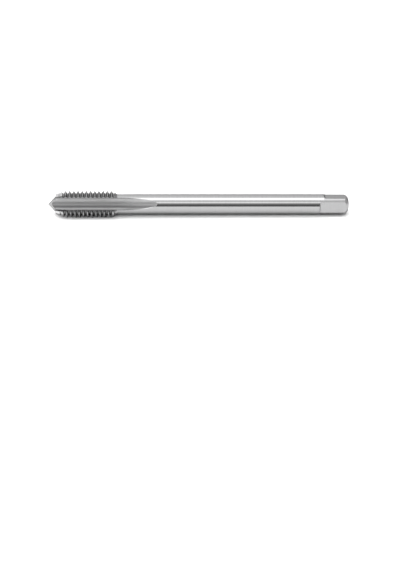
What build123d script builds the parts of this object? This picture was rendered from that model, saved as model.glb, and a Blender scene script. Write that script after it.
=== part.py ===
from build123d import *
import os
from math import acos, ceil, cos, degrees, radians, sin, sqrt, tan

# Straight-flute machine tap, metric coarse thread M8, ground from one bar of high-speed steel.
# It lies along X, cutting end toward -X, driving square toward +X, on the two land edges of its
# lowest flute. Millimetres and degrees, Z up, lowest point at Z = 0, middle of the length at X = 0.

# Driving sizes
overall_length = 90.0

thread_diameter = 8.0
thread_pitch = 1.25
thread_start = 0.334    # from the tip, where one groove crosses the middle of the lowest flute
full_thread_end = 19.2  # from the tip, last full crest
shoulder_length = 1.55  # slope from the crests down to the shank

tip_flat_radius = 0.08
centre_radius = 2.4     # base of the outside centre cone
centre_half_angle = 45.0
lead_radius = 3.05      # lands at the front face
lead_length = 3.1       # tapered cutting lead

flute_count = 3
core_radius = 1.4       # solid core left under the flutes
flute_form_radius = 2.3
flute_straight_end = 20.5  # from the tip, where the flute bottom starts to rise
flute_wheel_radius = 48.0
lowest_flute_angle = 270.0

shank_diameter = 6.0
square_across_flats = 4.9
side_flat_length = 8.85  # front and back flats, from the shank end, with the wheel's radius
top_flat_length = 7.6    # top and bottom flats
square_wheel_radius = 0.6
square_turn = 6.8       # first flat, above the horizontal on the viewer's side
end_chamfer = 1.15      # width of the rounded chamfer, along the tap and across it
end_rounding_radius = 2.2
end_crown = 0.3

cut_clearance = 0.5     # how far a cutting tool reaches past the metal it leaves

# What follows from them
thread_radius = thread_diameter / 2
shank_radius = shank_diameter / 2
groove_depth = 0.6134 * thread_pitch
root_radius = thread_radius - groove_depth
root_half_width = thread_pitch / 12
flank_angle = 30.0

flute_centre = core_radius + flute_form_radius
land_edge_height = (thread_radius**2 - flute_form_radius**2 + flute_centre**2) / (2 * flute_centre)
axis_height = max(land_edge_height, shank_radius)
tip_x = -overall_length / 2

front_face = (centre_radius - tip_flat_radius) / tan(radians(centre_half_angle))
shank_start = full_thread_end + shoulder_length


def around(angle, along=0):
    """Plane on the axis with X along the tap and its normal pointing outward at an angle in YZ."""
    outward = (0, cos(radians(angle)), sin(radians(angle)))
    return Plane(origin=(tip_x + along, 0, axis_height), x_dir=(1, 0, 0), z_dir=outward)


tap_axis = Axis((tip_x, 0, axis_height), (1, 0, 0))
side_plane = Plane(origin=(tip_x, 0, axis_height), x_dir=(1, 0, 0), z_dir=(0, -1, 0))

# One turn of the thread groove, about Z: a 60 degree section carried along a helix at the root.
# Its two ends lie in the middle of a flute, where the flute takes them away.
groove_outer = thread_radius + thread_pitch / 16
groove_half_width = root_half_width + (groove_outer - root_radius) * tan(radians(flank_angle))

with BuildPart() as groove_turn:
    with BuildLine() as turn_path:
        Helix(pitch=thread_pitch, height=thread_pitch, radius=root_radius)
    with BuildSketch(Plane.XZ):
        with BuildLine():
            Polyline(
                (root_radius, -root_half_width),
                (root_radius, root_half_width),
                (groove_outer, groove_half_width),
                (groove_outer, -groove_half_width),
                close=True,
            )
        make_face()
    sweep(path=turn_path.line, is_frenet=True)

lead_in = front_face - groove_half_width - thread_pitch
first_turn = thread_start + thread_pitch * ceil((lead_in - thread_start) / thread_pitch)
turn_count = ceil((shank_start + groove_half_width - first_turn) / thread_pitch)
groove_x_dir = (0, cos(radians(lowest_flute_angle)), sin(radians(lowest_flute_angle)))
groove_places = [
    Plane(
        origin=(tip_x + first_turn + turn * thread_pitch, 0, axis_height),
        x_dir=groove_x_dir,
        z_dir=(1, 0, 0),
    )
    for turn in range(turn_count)
]

# Flute: the form of the grinding wheel's rim, fed straight along the tap, then lifted out
# through the shank on the wheel's own radius.
flute_rise = acos(1 - (shank_radius + cut_clearance - core_radius) / flute_wheel_radius)

with BuildPart() as flute_cutter:
    with BuildSketch(Plane.YZ.offset(-cut_clearance)) as rim:
        with Locations((0, flute_centre)):
            Circle(flute_form_radius)
            Rectangle(
                2 * flute_form_radius,
                thread_radius,
                align=(Align.CENTER, Align.MIN),
            )
    extrude(amount=flute_straight_end + cut_clearance)
    with BuildSketch(Plane.YZ.offset(flute_straight_end)):
        add(rim.sketch_local)
    revolve(
        axis=Axis((flute_straight_end, 0, core_radius + flute_wheel_radius), (0, -1, 0)),
        revolution_arc=degrees(flute_rise),
    )

flute_places = [around(lowest_flute_angle + i * 360 / flute_count) for i in range(flute_count)]

# Driving square: each flat runs in from the shank end up to the wheel's rounded corner and its
# side. The flats are ground in two pairs. The cutter's X starts where its corner meets the round.
flat_height = square_across_flats / 2
flat_depth = shank_radius - flat_height
corner_reach = sqrt(square_wheel_radius**2 - max(square_wheel_radius - flat_depth, 0) ** 2)
wheel_length = max(side_flat_length, top_flat_length) + cut_clearance

with BuildPart() as flat_cutter:
    with BuildSketch(Plane.XZ):
        with Locations((corner_reach, flat_height)):
            Rectangle(wheel_length, shank_radius, align=(Align.MIN, Align.MIN))
        with Locations((corner_reach - square_wheel_radius, flat_height + square_wheel_radius)):
            Rectangle(wheel_length, shank_radius, align=(Align.MIN, Align.MIN))
        with Locations((corner_reach, flat_height + square_wheel_radius)):
            Circle(square_wheel_radius)
    extrude(amount=shank_radius + cut_clearance, both=True)

flat_places = [
    around(180 - square_turn + i * 90, overall_length - length)
    for i, length in enumerate(2 * (side_flat_length, top_flat_length))
]

# The tap: turned blank with its outside centre, tapered lead, thread band, shoulder, shank and
# crowned end, then the thread grooves, the flutes and the square are cut into it.
end_flat_radius = shank_radius - end_chamfer
crown_radius = (end_flat_radius**2 + end_crown**2) / (2 * end_crown)

with BuildPart() as tap:
    with BuildSketch(side_plane):
        with BuildLine():
            Polyline(
                (overall_length, 0),
                (0, 0),
                (0, tip_flat_radius),
                (front_face, centre_radius),
                (front_face, lead_radius),
                (front_face + lead_length, thread_radius),
                (full_thread_end, thread_radius),
                (shank_start, shank_radius),
                (overall_length - end_crown - end_chamfer, shank_radius),
            )
            RadiusArc(
                (overall_length - end_crown - end_chamfer, shank_radius),
                (overall_length - end_crown, end_flat_radius),
                end_rounding_radius,
            )
            RadiusArc(
                (overall_length - end_crown, end_flat_radius),
                (overall_length, 0),
                crown_radius,
            )
        make_face()
    revolve(axis=tap_axis)
    with Locations(*groove_places):
        add(groove_turn.part, mode=Mode.SUBTRACT)
    with Locations(*flute_places):
        add(flute_cutter.part, mode=Mode.SUBTRACT)
    with Locations(*flat_places):
        add(flat_cutter.part, mode=Mode.SUBTRACT)

tap.part.label = "tap"

os.makedirs("parts", exist_ok=True)
export_step(tap.part, "parts/tap.step")
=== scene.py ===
from math import acos, atan2, ceil, cos, degrees, hypot, pi, radians, sin, sqrt, tan

import bpy
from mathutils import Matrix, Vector


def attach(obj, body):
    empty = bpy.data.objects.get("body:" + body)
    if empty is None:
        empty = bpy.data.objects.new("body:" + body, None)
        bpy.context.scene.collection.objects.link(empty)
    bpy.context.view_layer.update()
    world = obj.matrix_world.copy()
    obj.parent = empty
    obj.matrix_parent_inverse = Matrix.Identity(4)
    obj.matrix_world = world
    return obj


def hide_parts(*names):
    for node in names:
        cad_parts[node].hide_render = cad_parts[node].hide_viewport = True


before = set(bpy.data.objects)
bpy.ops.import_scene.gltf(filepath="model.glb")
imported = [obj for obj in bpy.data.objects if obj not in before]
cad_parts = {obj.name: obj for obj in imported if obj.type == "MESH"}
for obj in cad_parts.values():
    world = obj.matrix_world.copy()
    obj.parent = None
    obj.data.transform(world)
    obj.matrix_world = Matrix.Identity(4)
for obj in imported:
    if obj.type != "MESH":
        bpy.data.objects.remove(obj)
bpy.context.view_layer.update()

# The tap: one bar of high-speed steel, turned to a blank with an outside centre, a tapered lead
# and a slim shank, then ground: thread groove, three straight flutes, four driving flats.
# The blank's rings are laid out here; one tree of geometry nodes grinds the rest into them.
TAP_LENGTH = 90.0  # millimetres and degrees, with places counted from the tip
THREAD_RADIUS = 4.0
PITCH = 1.25
ROOT_RADIUS = THREAD_RADIUS - 0.6134 * PITCH
GROOVE_START = 0.334  # where one groove crosses the middle of the lowest flute
TIP_FLAT = 0.08
CENTRE_RADIUS = 2.4
FRONT_FACE = CENTRE_RADIUS - TIP_FLAT
LEAD_RADIUS = 3.05
LEAD_LENGTH = 3.1
CREST_END = 19.2
SHANK_START = 20.75
SHANK_RADIUS = 3.0
FLUTE_COUNT = 3
FLUTE_STEP = 360.0 / FLUTE_COUNT
HALF_STEP = FLUTE_STEP / 2
LOWEST_FLUTE = 270.0
CORE_RADIUS = 1.4
FLUTE_RADIUS = 2.3
FLUTE_CENTRE = CORE_RADIUS + FLUTE_RADIUS
FLUTE_STRAIGHT_END = 20.5
WHEEL_RADIUS = 48.0
FLUTE_END = FLUTE_STRAIGHT_END + sqrt(WHEEL_RADIUS**2 - (WHEEL_RADIUS + CORE_RADIUS - SHANK_RADIUS) ** 2)
FLAT_HEIGHT = 2.45
FLAT_WHEEL = 0.6
WHEEL_EDGE = acos(1 - (SHANK_RADIUS - FLAT_HEIGHT) / FLAT_WHEEL)
SIDE_FLAT_LENGTH = 8.85
TOP_FLAT_LENGTH = 7.6
SIDE_FLATS = TAP_LENGTH - SIDE_FLAT_LENGTH + FLAT_WHEEL * sin(WHEEL_EDGE)  # at full depth from here
TOP_FLATS = TAP_LENGTH - TOP_FLAT_LENGTH + FLAT_WHEEL * sin(WHEEL_EDGE)
SQUARE_TURN = 173.2
END_CHAMFER = 1.15
END_ROUNDING = 2.2
END_CROWN = 0.3
END_FACE = TAP_LENGTH - END_CROWN
END_BEND = END_FACE - END_CHAMFER
AXIS_HEIGHT = (THREAD_RADIUS**2 - FLUTE_RADIUS**2 + FLUTE_CENTRE**2) / (2 * FLUTE_CENTRE)
SHANK, CENTRE, BAND, END = range(4)


def between(low, high, count):
    return [low + (high - low) * k / count for k in range(count + 1)]


def ease(value, low, high):
    t = min(1.0, max(0.0, (value - low) / (high - low)))
    return t * t * (3 - 2 * t)


# Each ring: place along the tap, turned radius, least half-angle of the flute columns, twist of
# the ring along the thread, and what the strip that follows it is. The columns stand close to a
# flute's edges where there is one, and evenly round the shank from its middle on.
CLOSE, EVEN = 6, 34
EVEN_FROM = 50
rings = []
centre_radii = between(TIP_FLAT, 1.28, 6) + between(1.34, 1.7, 12) + between(1.76, CENTRE_RADIUS, 6)
for radius in [TIP_FLAT / 2] + centre_radii:
    spread = EVEN - (EVEN - CLOSE) * ease(radius, 0.5, 1.3)
    rings.append((max(radius - TIP_FLAT, 0.0), radius, spread, 0.0, CENTRE))
for radius in between(CENTRE_RADIUS, LEAD_RADIUS, 5)[1:]:
    rings.append((FRONT_FACE, radius, CLOSE, 0.0, CENTRE if radius < LEAD_RADIUS else BAND))

# The thread has fine rings in its lead and shoulder. Between them it has only those that follow
# an edge of the groove, at the crests or at its root, on one of the three lands.
STEPS = 48
CREST_EDGE, ROOT_EDGE = 21, 4
edge_steps = {
    ((2 * land + 1) * STEPS // (2 * FLUTE_COUNT) + edge) % STEPS
    for land in range(FLUTE_COUNT) for edge in (-CREST_EDGE, -ROOT_EDGE, ROOT_EDGE, CREST_EDGE)}
fine = PITCH / STEPS
first = ceil((FRONT_FACE + 0.01 - GROOVE_START) / fine)
last = int((SHANK_START - GROOVE_START) / fine)
for k in range(first, last + 1):
    along = GROOVE_START + k * fine
    tapered = along < FRONT_FACE + LEAD_LENGTH + 0.3 or along > CREST_END - 0.2
    if tapered or k % STEPS in edge_steps:
        twist = ease(along, FRONT_FACE, FRONT_FACE + 0.7)
        twist *= 1 - ease(along, SHANK_START - 0.45, SHANK_START - 0.02)
        rings.append((along, THREAD_RADIUS, CLOSE, twist, BAND))
for along in between(SHANK_START, FLUTE_END - 1.2, 50) + between(FLUTE_END - 1.17, FLUTE_END + 0.3, 42):
    rings.append((along, SHANK_RADIUS, CLOSE, 0.0, SHANK))
before_flats = TAP_LENGTH - SIDE_FLAT_LENGTH - 0.1
for along in between(FLUTE_END + 0.6, EVEN_FROM, 48) + between(EVEN_FROM + 1, before_flats, 22):
    spread = CLOSE + (EVEN - CLOSE) * ease(along, FLUTE_END + 0.5, EVEN_FROM)
    rings.append((along, SHANK_RADIUS, spread, 0.0, SHANK))
for full_depth in (SIDE_FLATS, TOP_FLATS):
    for angle in between(WHEEL_EDGE, 0, 22):
        rings.append((full_depth - FLAT_WHEEL * sin(angle), SHANK_RADIUS, EVEN, 0.0, SHANK))
for along in between(TOP_FLATS + 0.5, END_BEND, 6):
    rings.append((along, SHANK_RADIUS, EVEN, 0.0, SHANK))

# The end: its edge is rounded on an arc, and its face stands out in a low crown.
end_radius = SHANK_RADIUS - END_CHAMFER
half_chord = END_CHAMFER / sqrt(2)
inward = sqrt(END_ROUNDING**2 - half_chord**2) / sqrt(2)
rounding_centre = (END_FACE - END_CHAMFER / 2 - inward, end_radius + END_CHAMFER / 2 - inward)
upper = atan2(SHANK_RADIUS - rounding_centre[1], END_BEND - rounding_centre[0])
lower = atan2(end_radius - rounding_centre[1], END_FACE - rounding_centre[0])
for angle in between(upper, lower, 18)[1:]:
    along = rounding_centre[0] + END_ROUNDING * cos(angle)
    rings.append((along, rounding_centre[1] + END_ROUNDING * sin(angle), EVEN, 0.0, END))
crown = (end_radius**2 + END_CROWN**2) / (2 * END_CROWN)
for radius in between(end_radius, 0.05, 9)[1:]:
    rings.append((TAP_LENGTH - crown + sqrt(crown**2 - radius**2), radius, EVEN, 0.0, END))

# Columns: for each flute, from land centre to land centre. The first number counts outward from
# the flute's bottom: 0 to 1 over the flute, 1 to 2 over the land.
flute_steps, land_steps = 10, 8
half = [k / flute_steps for k in range(flute_steps)] + [1 + k / land_steps for k in range(land_steps)]
columns = []
for flute in range(FLUTE_COUNT):
    bottom = LOWEST_FLUTE + FLUTE_STEP * flute
    columns += [(across, bottom, -1.0) for across in reversed(half)]
    columns += [(across, bottom, 1.0) for across in half[1:] + [2.0]]

# Toward the square they turn into its columns: for each side a slot of -1 to 1 across the flat
# and 1 to 2 round the corner that follows it.
corner_steps = 9
flat_steps = len(columns) // 4 - corner_steps
flat_half = degrees(acos(FLAT_HEIGHT / SHANK_RADIUS))
slots = [-1 + 2 * k / flat_steps for k in range(flat_steps)]
slots += [1 + k / corner_steps for k in range(corner_steps)]
square = []
for quarter in range(4):
    middle = SQUARE_TURN + 90 * quarter
    for slot in slots:
        offset = flat_half * min(slot, 1) + (90 - 2 * flat_half) * max(slot - 1, 0)
        square.append((middle + offset, middle, slot, float(quarter % 2)))
plain = []
for across, flute, side in columns:
    plain.append(flute + side * (EVEN * min(across, 1) + (HALF_STEP - EVEN) * max(across - 1, 0)))
start = min(range(len(square)), key=lambda k: abs((square[k][0] - plain[0] + 180) % 360 - 180))
square_columns = []
for k in range(len(columns)):
    angle, middle, slot, pair = square[(start + k) % len(square)]
    square_columns.append((middle + 360 * round((plain[k] - angle) / 360), slot, pair))

# The blank carries these numbers to the tree. The columns slide round the shank into the
# square's, and a flat keeps a least half-angle, which is smaller on the end's face.
SLIDE_FROM, SLIDE_TO = 40, 78
FLAT_LEAST, END_LEAST = 20, 7
names = (
    "along", "turned", "spread", "twist", "band", "across", "flute", "side", "middle", "slot", "pair",
    "square_mix", "tight")
numbers = {name: [] for name in names}
vertices, faces, kinds = [], [], []
count = len(columns)
for along, radius, spread, twist, kind in rings:
    slid = ease(along, SLIDE_FROM, SLIDE_TO)
    tight = FLAT_LEAST - (FLAT_LEAST - END_LEAST) * ease(along, END_BEND, END_FACE - 0.3)
    for column, square_column in zip(columns, square_columns):
        vertices.append((along, radius, 0.0))
        row = (along, radius, spread, twist, float(kind == BAND), *column, *square_column, slid, tight)
        for name, value in zip(numbers, row):
            numbers[name].append(value)
for ring in range(len(rings) - 1):
    for k in range(count):
        a, b = ring * count + k, ring * count + (k + 1) % count
        faces.append((a, b, b + count, a + count))
        kinds.append(rings[ring][4])
for place, ring, order in ((0.0, 0, 1), (TAP_LENGTH, len(rings) - 1, -1)):
    pole = len(vertices)
    vertices.append((place, 0.0, 0.0))
    row = (place, 0.0, EVEN, 0.0, 0.0, 0.0, 0.0, 1.0, 0.0, 0.0, 0.0, float(ring > 0), END_LEAST)
    for name, value in zip(numbers, row):
        numbers[name].append(value)
    for k in range(count):
        faces.append((pole, ring * count + (k + 1) % count, ring * count + k)[::order])
        kinds.append(END if ring else CENTRE)
blank = bpy.data.meshes.new("tap_blank")
blank.from_pydata(vertices, [], faces)
for name, values in numbers.items():
    blank.attributes.new(name, "FLOAT", "POINT").data.foreach_set("value", values)
blank.attributes.new("kind", "INT", "FACE").data.foreach_set("value", kinds)
tap = bpy.data.objects.new("tap_body", blank)
bpy.context.scene.collection.objects.link(tap)

grinding = bpy.data.node_groups.new("grinding", "GeometryNodeTree")
grinding.interface.new_socket("Blank", in_out="INPUT", socket_type="NodeSocketGeometry")
grinding.interface.new_socket("Tap", in_out="OUTPUT", socket_type="NodeSocketGeometry")
sizes = {
    "Length": TAP_LENGTH, "Axis height": AXIS_HEIGHT, "Pitch": PITCH, "Groove start": GROOVE_START,
    "Crest radius": THREAD_RADIUS, "Root radius": ROOT_RADIUS, "Front face": FRONT_FACE,
    "Lead radius": LEAD_RADIUS, "Lead length": LEAD_LENGTH, "Crest end": CREST_END,
    "Shank start": SHANK_START, "Shank radius": SHANK_RADIUS, "Core radius": CORE_RADIUS,
    "Flute radius": FLUTE_RADIUS, "Flute straight end": FLUTE_STRAIGHT_END, "Flute end": FLUTE_END,
    "Wheel radius": WHEEL_RADIUS, "Flat height": FLAT_HEIGHT, "Side flats": SIDE_FLATS,
    "Top flats": TOP_FLATS, "Flat wheel": FLAT_WHEEL, "Square turn": SQUARE_TURN,
}
for name, value in sizes.items():
    grinding.interface.new_socket(name, in_out="INPUT", socket_type="NodeSocketFloat").default_value = value
entry = grinding.nodes.new("NodeGroupInput")
leaving = grinding.nodes.new("NodeGroupOutput")


class Figure:
    """A number in the tree. Plain arithmetic on it adds Math nodes."""

    def __init__(self, socket):
        self.socket = socket

    def make(self, operation, *others):
        node = grinding.nodes.new("ShaderNodeMath")
        node.operation = operation
        for k, value in enumerate((self, *others)):
            if isinstance(value, Figure):
                grinding.links.new(value.socket, node.inputs[k])
            else:
                node.inputs[k].default_value = value
        return Figure(node.outputs[0])

    def __add__(self, other):
        return self.make("ADD", other)

    def __sub__(self, other):
        return self.make("SUBTRACT", other)

    def __rsub__(self, other):
        return self.make("MULTIPLY", -1.0).make("ADD", other)

    def __mul__(self, other):
        return self.make("MULTIPLY", other)

    def __truediv__(self, other):
        return self.make("DIVIDE", other)

    def least(self, other):
        return self.make("MINIMUM", other)

    def most(self, other):
        return self.make("MAXIMUM", other)

    def held(self):
        """Held between 0 and 1."""
        return self.most(0.0).least(1.0)

    def unsigned(self):
        return self.make("ABSOLUTE")

    def root(self):
        return self.most(0.0).make("SQRT")

    def above(self, other):
        return self.make("GREATER_THAN", other)

    def choose(self, yes, no):
        """Where this is 1 the first number, where 0 the second."""
        return self * (yes - no) + no


def given(name):
    """One of the tree's named inputs."""
    return Figure(entry.outputs[name])


def stored(name, data_type="FLOAT"):
    """A number that the blank carries."""
    node = grinding.nodes.new("GeometryNodeInputNamedAttribute")
    node.data_type = data_type
    node.inputs["Name"].default_value = name
    return Figure(node.outputs["Attribute"])


to_radians, to_degrees = pi / 180, 180 / pi
along, across, side, flute = (stored(name) for name in ("along", "across", "side", "flute"))
pitch, crest, root = given("Pitch"), given("Crest radius"), given("Root radius")
in_flute, in_land = across.least(1.0), (across - 1.0).most(0.0)

# the flute's wheel lifts on its own radius behind the straight stretch
past = (along - given("Flute straight end")).most(0.0)
wheel = given("Wheel radius")
form = given("Flute radius")
centre = wheel - (wheel * wheel - past * past).root() + given("Core radius") + form


def half_angle(radius):
    """Half the opening of a flute at a radius, in degrees."""
    ratio = (radius * radius - form * form + centre * centre) / (radius * centre * 2.0).most(0.001)
    return ratio.least(1.0).most(-1.0).make("ARCCOSINE") * to_degrees


# the thread: how far a ring is from a groove's middle gives the radius that the groove leaves
turn = (along - given("Groove start")) / pitch - (flute + side * HALF_STEP - LOWEST_FLUTE) / 360.0
in_turn = (turn + 0.5).make("FRACT") - 0.5
thread = (in_turn.unsigned() * pitch - pitch / 12.0).most(0.0) / tan(radians(30)) + root


def turned(place):
    """Radius of the blank inside the thread band: cutting lead, crests and shoulder."""
    taper = (crest - given("Lead radius")) / given("Lead length")
    lead = (place - given("Front face")) * taper + given("Lead radius")
    slope = (crest - given("Shank radius")) / (given("Shank start") - given("Crest end"))
    shoulder = crest - (place - given("Crest end")) * slope
    return crest.least(lead).least(shoulder.most(given("Shank radius")))


in_band = stored("band")
rough_radius = in_band.choose(turned(along).least(thread), stored("turned"))
opening = half_angle(rough_radius).most(stored("spread"))
land_angle = opening + in_land * (HALF_STEP - opening)
drift = side * stored("twist") * pitch * in_flute * (land_angle - HALF_STEP) / 360.0
place = along + drift
radius = in_band.choose(turned(place).least(thread), stored("turned"))
true_opening = half_angle(radius)
opening = true_opening.most(stored("spread"))

# over a flute: on the wheel's arc where the flute is open, or along a ray near its two ends
lip = true_opening * to_radians
wall = (radius * lip.make("SINE")).make("ARCTAN2", centre - radius * lip.make("COSINE"))
arc_side = form * (wall * in_flute).make("SINE")
arc_out = centre - form * (wall * in_flute).make("COSINE")
ray = opening * in_flute * to_radians
beside = (centre * ray.make("SINE")).make("POWER", 2.0)
ray_reach = centre * ray.make("COSINE") - (form * form - beside).root()
inside = (lip - ray).above(0.0001)
ray_radius = inside.choose(radius.least(ray_reach), radius)
on_arc = (true_opening - stored("spread")).above(0.0)
flute_side = on_arc.choose(arc_side, ray_radius * ray.make("SINE"))
flute_out = on_arc.choose(arc_out, ray_radius * ray.make("COSINE"))
land = (opening + in_land * (HALF_STEP - opening)) * to_radians
over_land = across.above(1.0001)
lateral = over_land.choose(radius * land.make("SINE"), flute_side)
outward = over_land.choose(radius * land.make("COSINE"), flute_out)
ground = (lateral * lateral + outward * outward).root()
angle = flute + side * lateral.make("ARCTAN2", outward) * to_degrees
short_of_edge = 1.0 - (across - 0.9999).above(0.0)
fluted = (radius - ground).above(0.002).most((1.0 - over_land) * on_arc * short_of_edge)

# the square: each pair of flats is ground up to the wheel's rounded corner and side
flat_height, flat_wheel = given("Flat height"), given("Flat wheel")


def flat_at(full_depth):
    """Height of a flat over the axis, with the wheel's corner before it is at full depth."""
    short = (full_depth - along).most(0.0)
    corner = (flat_wheel * flat_wheel - short * short).root()
    wheel_side = (short - flat_wheel).most(0.0) * 10.0
    return flat_height + flat_wheel - corner + wheel_side


def flat_opening(height):
    """Half the angle that a flat takes from the blank at this ring, in degrees."""
    return (height / stored("turned").most(0.001)).least(1.0).make("ARCCOSINE") * to_degrees


side_flat, top_flat = flat_at(given("Side flats")), flat_at(given("Top flats"))
pair, slot, tight = stored("pair"), stored("slot"), stored("tight")
own_flat, next_flat = pair.choose(top_flat, side_flat), pair.choose(side_flat, top_flat)
own_opening = flat_opening(own_flat).most(tight)
next_opening = flat_opening(next_flat).most(tight)
square_angle = stored("middle") + slot.least(1.0) * own_opening
square_angle = square_angle + (slot - 1.0).most(0.0) * (90.0 - own_opening - next_opening)

# the columns slide round the shank until they follow the edges of the flats
slid = stored("square_mix")
angle = angle * (1.0 - slid) + square_angle * slid
from_corner = angle - given("Square turn") + 45.0
quarter_turn = (from_corner / 90.0).make("FRACT") * 90.0 - 45.0
top_pair = (from_corner / 180.0).make("FRACT").above(0.5)
flat = top_pair.choose(top_flat, side_flat) / (quarter_turn * to_radians).make("COSINE")
squared = (ground - flat).above(0.0005)
ground = ground.least(flat)

angle = angle * to_radians
set_place = grinding.nodes.new("GeometryNodeSetPosition")
gather = grinding.nodes.new("ShaderNodeCombineXYZ")
spot = (
    place - given("Length") / 2.0,
    ground * angle.make("COSINE"),
    ground * angle.make("SINE") + given("Axis height"),
)
for k, value in enumerate(spot):
    grinding.links.new((value * 0.001).socket, gather.inputs[k])
grinding.links.new(gather.outputs[0], set_place.inputs["Position"])


def near(distance, sharpness):
    """1 at no distance, falling to 0 at one over the sharpness."""
    return (1.0 - distance.unsigned() * sharpness).most(0.0)


# edges that the wheels left sharp, with a mask that fades in about two tenths of a millimetre
land_edge = near(across - 1.0, 8.0) * on_arc
flat_start = given("Side flats") + pair * (given("Top flats") - given("Side flats")) - flat_wheel
flat_cut = (stored("turned") - own_flat).above(0.03)
flat_edge = near(slot.unsigned() - 1.0, 10.0) * flat_cut
start_edge = near(along - flat_start, 10.0) * (1.0 - (slot.unsigned() - 0.9).above(0.0))
from_face = along - given("Front face")
face_edge = near(from_face, 10.0) * in_band * across.above(0.99)
corner_strip = (slot - 0.999).above(0.0) * flat_cut * 0.9
edge = land_edge.most(flat_edge).most(start_edge).most(face_edge).most(corner_strip)

# in the lead the lands get a painted highlight and the rake edge a painted shadow; everywhere the half of a
# land behind the cutting edge is brighter than its heel
behind_face = (from_face + 0.4).most(0.0).least(0.3) / 0.3
in_lead = (given("Lead length") * 1.3 - from_face).held() * behind_face
lead_land_painted_highlight = ((given("Lead length") * 0.83 - from_face) / 0.8).held() * in_band
cutting_half = (side * (2.0 - across) * 3.0 + 0.4).held() * ((across - 1.1) * 4.0).held()
land_tone = (lead_land_painted_highlight * 0.38 + 1.0) * (cutting_half * 0.5 + 0.85)
rake_edge_painted_shadow = in_lead * near(across + side * 0.1 - 1.0, 4.2)

# painted reflections and shade in bands across each flute: where a place is across them, turned over in the
# back flute, and how far up the run-out it is, where the lifting wheel brings other painted bands
back_flute = LOWEST_FLUTE + FLUTE_STEP
turned_over = (flute - back_flute).unsigned().make("LESS_THAN", HALF_STEP)
wheel_place = lateral * side * (turned_over * 2.0 - 1.0)
lift = (past / (given("Flute end") - given("Flute straight end")) * 2.6).least(1.0)

# the groove: how deep a place is in it, where it is cut to its full depth, and on which flank
thread_height = crest - root
full_groove = ((turned(place) - root) / thread_height * 2.5 - 0.2).held()
cut_depth = in_band * full_groove * (turned(place) - radius) / thread_height
flank = (in_turn * 12.0).most(-1.0).least(1.0)

shaped = entry.outputs["Blank"]
looks = {
    "fluted": fluted, "squared": squared, "edge": edge, "lift": lift, "land_tone": land_tone,
    "rake_edge_painted_shadow": rake_edge_painted_shadow, "wheel_place": wheel_place, "cut_depth": cut_depth, "flank": flank,
}
for name, value in looks.items():
    keep = grinding.nodes.new("GeometryNodeStoreNamedAttribute")
    keep.data_type, keep.domain = "FLOAT", "POINT"
    keep.inputs["Name"].default_value = name
    grinding.links.new(shaped, keep.inputs["Geometry"])
    grinding.links.new(value.socket, keep.inputs["Value"])
    shaped = keep.outputs["Geometry"]
grinding.links.new(shaped, set_place.inputs["Geometry"])
join = grinding.nodes.new("GeometryNodeMergeByDistance")
join.inputs["Distance"].default_value = 1.5e-6
grinding.links.new(set_place.outputs["Geometry"], join.inputs["Geometry"])
crease = grinding.nodes.new("GeometryNodeInputMeshEdgeAngle")
soft_edge = Figure(crease.outputs["Unsigned Angle"]).make("LESS_THAN", radians(11.5))
smooth = grinding.nodes.new("GeometryNodeSetShadeSmooth")
smooth.domain = "EDGE"
grinding.links.new(join.outputs["Geometry"], smooth.inputs["Geometry"])
grinding.links.new(soft_edge.socket, smooth.inputs["Shade Smooth"])


# Ground steel: bright grey, with the fine marks that each wheel leaves, round the shank and the
# lands, along the flutes, and across the flats.
def new_material(name):
    material = bpy.data.materials.new(name)
    material.use_nodes = True
    material.node_tree.nodes.clear()
    return material


def put(tree, kind, **settings):
    node = tree.nodes.new(kind)
    for name, value in settings.items():
        setattr(node, name, value)
    return node


def ranged(tree, value, low, high, to_low=0.0, to_high=1.0, curve="LINEAR"):
    """A number carried from one range to another."""
    node = put(tree, "ShaderNodeMapRange", interpolation_type=curve)
    for name, number in (("From Min", low), ("From Max", high), ("To Min", to_low), ("To Max", to_high)):
        node.inputs[name].default_value = number
    tree.links.new(value, node.inputs["Value"])
    return node.outputs["Result"]


wheel_marks = bpy.data.node_groups.new("wheel_marks", "ShaderNodeTree")
wheel_marks.interface.new_socket("Stretch", in_out="INPUT", socket_type="NodeSocketVector")
for name in ("Depth", "Patches"):
    wheel_marks.interface.new_socket(name, in_out="INPUT", socket_type="NodeSocketFloat")
for name in ("Height", "Streak", "Cloud"):
    wheel_marks.interface.new_socket(name, in_out="OUTPUT", socket_type="NodeSocketFloat")
tree = wheel_marks
marks_in, marks_out = put(tree, "NodeGroupInput"), put(tree, "NodeGroupOutput")
where = put(tree, "ShaderNodeTexCoord")
stretch = put(tree, "ShaderNodeVectorMath", operation="MULTIPLY")
tree.links.new(where.outputs["Object"], stretch.inputs[0])
tree.links.new(marks_in.outputs["Stretch"], stretch.inputs[1])
lines = put(tree, "ShaderNodeTexNoise")
lines.inputs["Scale"].default_value = 1.0
lines.inputs["Detail"].default_value = 4.0
lines.inputs["Roughness"].default_value = 0.65
tree.links.new(stretch.outputs[0], lines.inputs["Vector"])
cloud = put(tree, "ShaderNodeTexNoise")
cloud.inputs["Detail"].default_value = 2.0
tree.links.new(where.outputs["Object"], cloud.inputs["Vector"])
tree.links.new(marks_in.outputs["Patches"], cloud.inputs["Scale"])
deep = put(tree, "ShaderNodeMath", operation="MULTIPLY")
tree.links.new(lines.outputs["Fac"], deep.inputs[0])
tree.links.new(marks_in.outputs["Depth"], deep.inputs[1])
tree.links.new(deep.outputs[0], marks_out.inputs["Height"])
tree.links.new(lines.outputs["Fac"], marks_out.inputs["Streak"])
tree.links.new(cloud.outputs["Fac"], marks_out.inputs["Cloud"])

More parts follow.
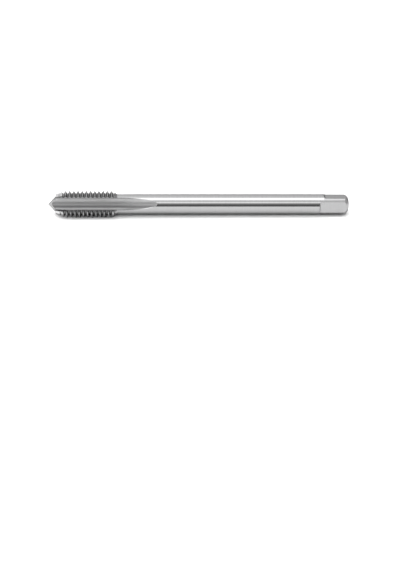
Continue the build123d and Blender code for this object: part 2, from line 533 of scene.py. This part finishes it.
edge_wear = bpy.data.node_groups.new("edge_wear", "ShaderNodeTree")
for name, way in (("Edge", "INPUT"), ("Nicks", "INPUT"), ("Wear", "OUTPUT")):
    edge_wear.interface.new_socket(name, in_out=way, socket_type="NodeSocketFloat")
tree = edge_wear
wear_in, wear_out = put(tree, "NodeGroupInput"), put(tree, "NodeGroupOutput")
where = put(tree, "ShaderNodeTexCoord")
nicks = put(tree, "ShaderNodeTexNoise")
nicks.inputs["Detail"].default_value = 3.0
tree.links.new(where.outputs["Object"], nicks.inputs["Vector"])
tree.links.new(wear_in.outputs["Nicks"], nicks.inputs["Scale"])
ragged = put(tree, "ShaderNodeMath", operation="ADD")
tree.links.new(wear_in.outputs["Edge"], ragged.inputs[0])
tree.links.new(nicks.outputs["Fac"], ragged.inputs[1])
worn_line = ranged(tree, ragged.outputs[0], 0.95, 1.35, curve="SMOOTHSTEP")
tree.links.new(worn_line, wear_out.inputs["Wear"])


def kept(tree, name):
    """A number that the grinding left on the tap."""
    return put(tree, "ShaderNodeAttribute", attribute_name=name).outputs["Fac"]


def toned(tree, colour, tone):
    """A colour times a tone that changes over the tap."""
    node = put(tree, "ShaderNodeMix", data_type="RGBA", blend_type="MULTIPLY")
    node.inputs["Factor"].default_value = 1.0
    tree.links.new(colour, node.inputs["A"])
    tree.links.new(tone, node.inputs["B"])
    return node.outputs["Result"]


def darkened(tree, colour, mask, grey):
    """A colour, darker where a mask is 1."""
    node = put(tree, "ShaderNodeMix", data_type="RGBA", blend_type="MULTIPLY")
    node.inputs["B"].default_value = (grey, grey, grey, 1)
    tree.links.new(mask, node.inputs["Factor"])
    tree.links.new(colour, node.inputs["A"])
    return node.outputs["Result"]


def painted_band_tones(tree, spot, painted_bands):
    """Painted reflections and shade across a flute, from the places of its bands in millimetres."""
    node = put(tree, "ShaderNodeValToRGB")
    stops = node.color_ramp.elements
    for k, (place, grey) in enumerate(painted_bands):
        share = (place + FLUTE_RADIUS) / (2 * FLUTE_RADIUS)
        stop = stops[k] if k < 2 else stops.new(share)
        stop.position, stop.color = share, (grey, grey, grey, 1)
    tree.links.new(spot, node.inputs["Fac"])
    return node.outputs["Color"]


def ground_steel(name, marks_stretch, dark, light, roughness, painted_bands=None, thread_painted_tones=None):
    """Bright steel whose tone and gloss follow the wheel's marks and where it is ground or worn, with
    painted light and shade on the flutes, the thread and the lead.
    """
    patch_scale, nick_scale = 260.0, 3500.0
    rake_shadow_grey, worn_grey, worn_dulling = 0.12, 0.8, 0.2
    material = new_material(name)
    tree = material.node_tree
    marks = put(tree, "ShaderNodeGroup", node_tree=wheel_marks)
    marks.inputs["Stretch"].default_value = marks_stretch
    marks.inputs["Depth"].default_value = 1.0
    marks.inputs["Patches"].default_value = patch_scale
    steel = put(tree, "ShaderNodeBsdfPrincipled")
    steel.inputs["Metallic"].default_value = 1.0
    steel.inputs["Specular Tint"].default_value = (0.6, 0.6, 0.6, 1)
    streaks = put(tree, "ShaderNodeMix", data_type="RGBA")
    streaks.inputs["A"].default_value = (*dark, 1)
    streaks.inputs["B"].default_value = (*light, 1)
    tree.links.new(ranged(tree, marks.outputs["Streak"], 0.3, 0.7), streaks.inputs["Factor"])
    colour = streaks.outputs["Result"]
    # painted reflections and shade in bands across the flute, and other bands up the run-out
    if painted_bands:
        spot = ranged(tree, kept(tree, "wheel_place"), -FLUTE_RADIUS, FLUTE_RADIUS)
        both = put(tree, "ShaderNodeMix", data_type="RGBA")
        tree.links.new(kept(tree, "lift"), both.inputs["Factor"])
        for socket, places in zip(("A", "B"), painted_bands):
            tree.links.new(painted_band_tones(tree, spot, places), both.inputs[socket])
        colour = toned(tree, colour, both.outputs["Result"])
    if thread_painted_tones:
        # painted light on the flank toward the tip, painted shade on the flank toward the shank and in the
        # groove's root
        crest_tone, tip_flank_painted_light, shank_flank_painted_shade, root_painted_shade = thread_painted_tones
        cut = kept(tree, "cut_depth")
        walls = put(tree, "ShaderNodeMath", operation="MULTIPLY")
        tree.links.new(ranged(tree, kept(tree, "flank"), -0.7, 0.7, shank_flank_painted_shade, tip_flank_painted_light), walls.inputs[0])
        tree.links.new(ranged(tree, cut, 0.45, 1.0, 1.0, root_painted_shade), walls.inputs[1])
        tone = ranged(tree, cut, 0.02, 0.12, crest_tone, curve="SMOOTHSTEP")
        tree.links.new(walls.outputs[0], tone.node.inputs["To Max"])
        # the lands' tone, with the painted highlight on the lead's lands
        colour = toned(tree, toned(tree, colour, tone), kept(tree, "land_tone"))
    # painted shadow along the rake edge in the lead
    colour = darkened(tree, colour, kept(tree, "rake_edge_painted_shadow"), rake_shadow_grey)
    wear = put(tree, "ShaderNodeGroup", node_tree=edge_wear)
    wear.inputs["Nicks"].default_value = nick_scale
    tree.links.new(kept(tree, "edge"), wear.inputs["Edge"])
    colour = darkened(tree, colour, wear.outputs["Wear"], worn_grey)
    tree.links.new(colour, steel.inputs["Base Color"])
    duller = put(tree, "ShaderNodeMath", operation="MULTIPLY_ADD")
    duller.inputs[1].default_value = worn_dulling
    tree.links.new(wear.outputs["Wear"], duller.inputs[0])
    tree.links.new(ranged(tree, marks.outputs["Cloud"], 0.3, 0.7, *roughness), duller.inputs[2])
    tree.links.new(duller.outputs[0], steel.inputs["Roughness"])
    relief = put(tree, "ShaderNodeBump")
    relief.inputs["Strength"].default_value = 0.2
    relief.inputs["Distance"].default_value = 0.00002
    tree.links.new(marks.outputs["Height"], relief.inputs["Height"])
    tree.links.new(relief.outputs["Normal"], steel.inputs["Normal"])
    out = put(tree, "ShaderNodeOutputMaterial")
    tree.links.new(steel.outputs["BSDF"], out.inputs["Surface"])
    return material


# Painted reflections and shade in bands across the flute: millimetres from the middle of the wheel's rim,
# up in the front flute, and their tone.
flute_painted_bands = [
    (-2.3, 0.21), (-1.9, 0.23), (-1.62, 0.53), (-1.32, 0.53), (-1.02, 0.26), (-0.8, 0.2), (-0.66, 0.2),
    (-0.42, 0.36), (-0.12, 0.6), (0.2, 0.61), (0.5, 0.59), (0.8, 0.7), (1.1, 0.83), (1.38, 1.0),
    (1.8, 1.12), (2.1, 1.5), (2.3, 1.5)]
runout_painted_bands = [
    (-2.3, 0.21), (-1.62, 0.4), (-1.32, 0.36), (-1.02, 0.2), (-0.8, 0.22), (-0.66, 0.24), (-0.42, 0.4),
    (-0.12, 0.6), (1.38, 1.0)]
shank_steel = ground_steel(
    "shank_ground", (9000, 260, 260), (0.43, 0.43, 0.433), (0.49, 0.49, 0.493), (0.07, 0.12))
flute_steel = ground_steel(
    "flute_ground", (160, 9000, 9000), (0.53, 0.53, 0.533), (0.67, 0.67, 0.673), (0.46, 0.54),
    painted_bands=(flute_painted_bands, runout_painted_bands))
# the thread's tones: crests, the flank toward the tip lighter as painted light, the one toward the shank
# darker as painted shade, and the root darker as painted shade
thread_steel = ground_steel(
    "thread_ground", (9000, 900, 900), (0.46, 0.46, 0.462), (0.58, 0.58, 0.582), (0.28, 0.36),
    thread_painted_tones=(0.82, 0.95, 0.37, 0.65))
flat_steel = ground_steel(
    "flat_ground", (7000, 300, 300), (0.42, 0.42, 0.423), (0.48, 0.48, 0.483), (0.18, 0.26))
turned_steel = ground_steel(
    "centre_ground", (5000, 500, 500), (0.4, 0.4, 0.402), (0.48, 0.48, 0.482), (0.24, 0.32))
end_steel = ground_steel(
    "end_ground", (5000, 500, 500), (0.44, 0.44, 0.442), (0.52, 0.52, 0.522), (0.26, 0.34))


def finish(geometry, material, chosen=None):
    """Give a material to the chosen faces, or to all of them."""
    node = grinding.nodes.new("GeometryNodeSetMaterial")
    node.inputs["Material"].default_value = material
    grinding.links.new(geometry, node.inputs["Geometry"])
    if chosen:
        grinding.links.new(chosen.socket, node.inputs["Selection"])
    return node.outputs["Geometry"]


def is_kind(number):
    return (stored("kind", "INT") - float(number)).unsigned().make("LESS_THAN", 0.5)


done = grinding.nodes.new("GeometryNodeRealizeInstances")
grinding.links.new(smooth.outputs["Geometry"], done.inputs["Geometry"])
dressed = finish(done.outputs["Geometry"], shank_steel)
dressed = finish(dressed, turned_steel, is_kind(CENTRE))
dressed = finish(dressed, end_steel, is_kind(END))
dressed = finish(dressed, thread_steel, is_kind(BAND))
dressed = finish(dressed, flute_steel, stored("fluted").above(0.6))
dressed = finish(dressed, flat_steel, stored("squared").above(0.4))
grinding.links.new(dressed, leaving.inputs["Tap"])

modifier = tap.modifiers.new("grinding", "NODES")
modifier.node_group = grinding
for item in grinding.interface.items_tree:
    if item.in_out == "INPUT" and item.name in sizes:
        modifier[item.identifier] = float(sizes[item.name])
bpy.context.view_layer.update()
evaluated = tap.evaluated_get(bpy.context.evaluated_depsgraph_get())
finished = bpy.data.meshes.new_from_object(evaluated)
tap.modifiers.remove(modifier)
tap.data = finished

# Faces left as they were turned get the exact normals of the shank, the rounding and the crown.
TOUCH = 0.0005
radii = [0.0] * len(finished.vertices)
finished.attributes["turned"].data.foreach_get("value", radii)
face_kinds = [0] * len(finished.polygons)
finished.attributes["kind"].data.foreach_get("value", face_kinds)
normals = [corner.vector.copy() for corner in finished.corner_normals]
tip = Vector((-TAP_LENGTH / 2, 0, AXIS_HEIGHT))
for face, kind in zip(finished.polygons, face_kinds):
    spots = [finished.vertices[v].co * 1000 - tip for v in face.vertices]
    as_turned = all(abs(hypot(p.y, p.z) - radii[v]) < TOUCH for p, v in zip(spots, face.vertices))
    if kind not in (SHANK, END) or not as_turned:
        continue
    middle = sum(p.x for p in spots) / len(spots)
    for loop, p in zip(face.loop_indices, spots):
        reach = max(hypot(p.y, p.z), 0.000001)
        if kind == SHANK:
            slope = Vector((0.0, 1.0))
        elif middle < END_FACE:
            slope = Vector((p.x - rounding_centre[0], reach - rounding_centre[1])).normalized()
        else:
            slope = Vector((p.x - TAP_LENGTH + crown, reach)).normalized()
        normals[loop] = Vector((slope.x, slope.y * p.y / reach, slope.y * p.z / reach))
finished.normals_split_custom_set(normals)
used_up = [a.name for a in finished.attributes if a.name in (*numbers, "kind", "fluted", "squared")]
for name in used_up:
    finished.attributes.remove(finished.attributes[name])
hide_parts("tap")
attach(tap, "root")

# The ground it lies on: a plain white sheet, level with the two land edges and the end of the
# shank that really carry the tap, so it leans a quarter of a degree against the tap's axis.
last_crest = CREST_END - 1.5
rest_slope = (AXIS_HEIGHT - SHANK_RADIUS) / (SIDE_FLATS - last_crest)
rest_x = (last_crest - TAP_LENGTH / 2) / 1000
wide, below = 1.5, 0.00002
corners = ((-wide, -wide), (wide, -wide), (wide, wide), (-wide, wide))
sheet = bpy.data.meshes.new("floor")
sheet.from_pydata([(x, y, (x - rest_x) * rest_slope - below) for x, y in corners], [], [(0, 1, 2, 3)])
floor = bpy.data.objects.new("floor", sheet)
bpy.context.scene.collection.objects.link(floor)
# it is matt white to the eye, and greyer where the steel mirrors it, most of all behind the tap
paper = new_material("white_sheet")
tree = paper.node_tree
matt = put(tree, "ShaderNodeBsdfPrincipled")
matt.inputs["Roughness"].default_value = 0.9
matt.inputs["Specular IOR Level"].default_value = 0.1
where = put(tree, "ShaderNodeTexCoord")
apart = put(tree, "ShaderNodeSeparateXYZ")
tree.links.new(where.outputs["Object"], apart.inputs[0])
mirrored = put(tree, "ShaderNodeMix", data_type="RGBA")
mirrored.inputs["A"].default_value = (0.63, 0.63, 0.63, 1)
mirrored.inputs["B"].default_value = (0.25, 0.25, 0.25, 1)
behind = ranged(tree, apart.outputs["Y"], 0.004, 0.014, curve="SMOOTHSTEP")
tree.links.new(behind, mirrored.inputs["Factor"])
white = put(tree, "ShaderNodeMix", data_type="RGBA")
white.inputs["A"].default_value = (0.86, 0.86, 0.86, 1)
tree.links.new(mirrored.outputs["Result"], white.inputs["B"])
path = put(tree, "ShaderNodeLightPath")
tree.links.new(path.outputs["Is Glossy Ray"], white.inputs["Factor"])
tree.links.new(white.outputs["Result"], matt.inputs["Base Color"])
out = put(tree, "ShaderNodeOutputMaterial")
tree.links.new(matt.outputs["BSDF"], out.inputs["Surface"])
sheet.materials.append(paper)

# Studio light: long soft boxes that run the way the tap lies, seen as bands along its shank.
# Each stop is an angle over the tap, from the viewer's side, and how bright the room is there.
# The room is brighter past the tip than past the square.
RAMP_TOP = 5  # what a ramp's full white stands for
past_tip, past_square, on_matt = 1.35, 0.52, 1.86
stops = [
    (0, 0.53), (8, 0.22), (16, 0.10), (22, 0.19), (30, 0.42), (40, 0.90), (48, 1.8), (53, 1.45),
    (60, 0.93), (66, 0.92), (74, 1.25), (80, 2.5), (99, 2.7), (104, 1.9), (112, 1.12), (128, 1.06),
    (150, 0.98), (165, 0.92), (180, 0.45)]
room = bpy.data.worlds.new("studio")
room.use_nodes = True
bpy.context.scene.world = room
tree = room.node_tree
tree.nodes.clear()
where = put(tree, "ShaderNodeTexCoord")
parts = put(tree, "ShaderNodeSeparateXYZ")
tree.links.new(where.outputs["Generated"], parts.inputs[0])
toward = put(tree, "ShaderNodeMath", operation="MULTIPLY")
toward.inputs[1].default_value = -1.0
tree.links.new(parts.outputs["Y"], toward.inputs[0])
rise = put(tree, "ShaderNodeMath", operation="ARCTAN2")
tree.links.new(parts.outputs["Z"], rise.inputs[0])
tree.links.new(toward.outputs[0], rise.inputs[1])
share = put(tree, "ShaderNodeMath", operation="DIVIDE")
share.inputs[1].default_value = pi
tree.links.new(rise.outputs[0], share.inputs[0])
bands = put(tree, "ShaderNodeValToRGB")
boxes = bands.color_ramp.elements
for k, (degree, light) in enumerate(stops):
    stop = boxes[k] if k < 2 else boxes.new(degree / 180)
    stop.position = degree / 180
    stop.color = (light / RAMP_TOP, light / RAMP_TOP, light / RAMP_TOP, 1)
tree.links.new(share.outputs[0], bands.inputs["Fac"])
ends = ranged(
    tree, parts.outputs["X"], -0.45, 0.6, RAMP_TOP * past_tip, RAMP_TOP * past_square, curve="SMOOTHSTEP")
path = put(tree, "ShaderNodeLightPath")
fill = ranged(tree, path.outputs["Is Diffuse Ray"], 0.0, 1.0, 1.0, on_matt)
power = put(tree, "ShaderNodeMath", operation="MULTIPLY")
tree.links.new(ends, power.inputs[0])
tree.links.new(fill, power.inputs[1])
glow = put(tree, "ShaderNodeBackground")
tree.links.new(bands.outputs["Color"], glow.inputs["Color"])
tree.links.new(power.outputs[0], glow.inputs["Strength"])
out = put(tree, "ShaderNodeOutputWorld")
tree.links.new(glow.outputs[0], out.inputs["Surface"])

# The camera looks down thirty degrees, straight into one flute, from far off with a long lens.
# The tap lies level across the picture, a little over a third of the way down.
PICTURE_HIGH, AXIS_ROW, PER_MM = 570, 204.1, 3.3433
down, lens, film = radians(30), 135.0, 36.0
far = PICTURE_HIGH / PER_MM * lens / film / 1000
eye = bpy.data.cameras.new("camera")
eye.lens, eye.sensor_width, eye.clip_end = lens, film, 20.0
eye.shift_y = -(PICTURE_HIGH / 2 - AXIS_ROW) / PICTURE_HIGH
camera = bpy.data.objects.new("camera", eye)
bpy.context.scene.collection.objects.link(camera)
aim = Vector((0.00046, 0.0, AXIS_HEIGHT / 1000))
camera.location = aim + Vector((0, -cos(down), sin(down))) * far
camera.rotation_euler = (pi / 2 - down, 0, 0)
bpy.context.scene.camera = camera
bpy.context.scene.view_settings.view_transform = "Standard"
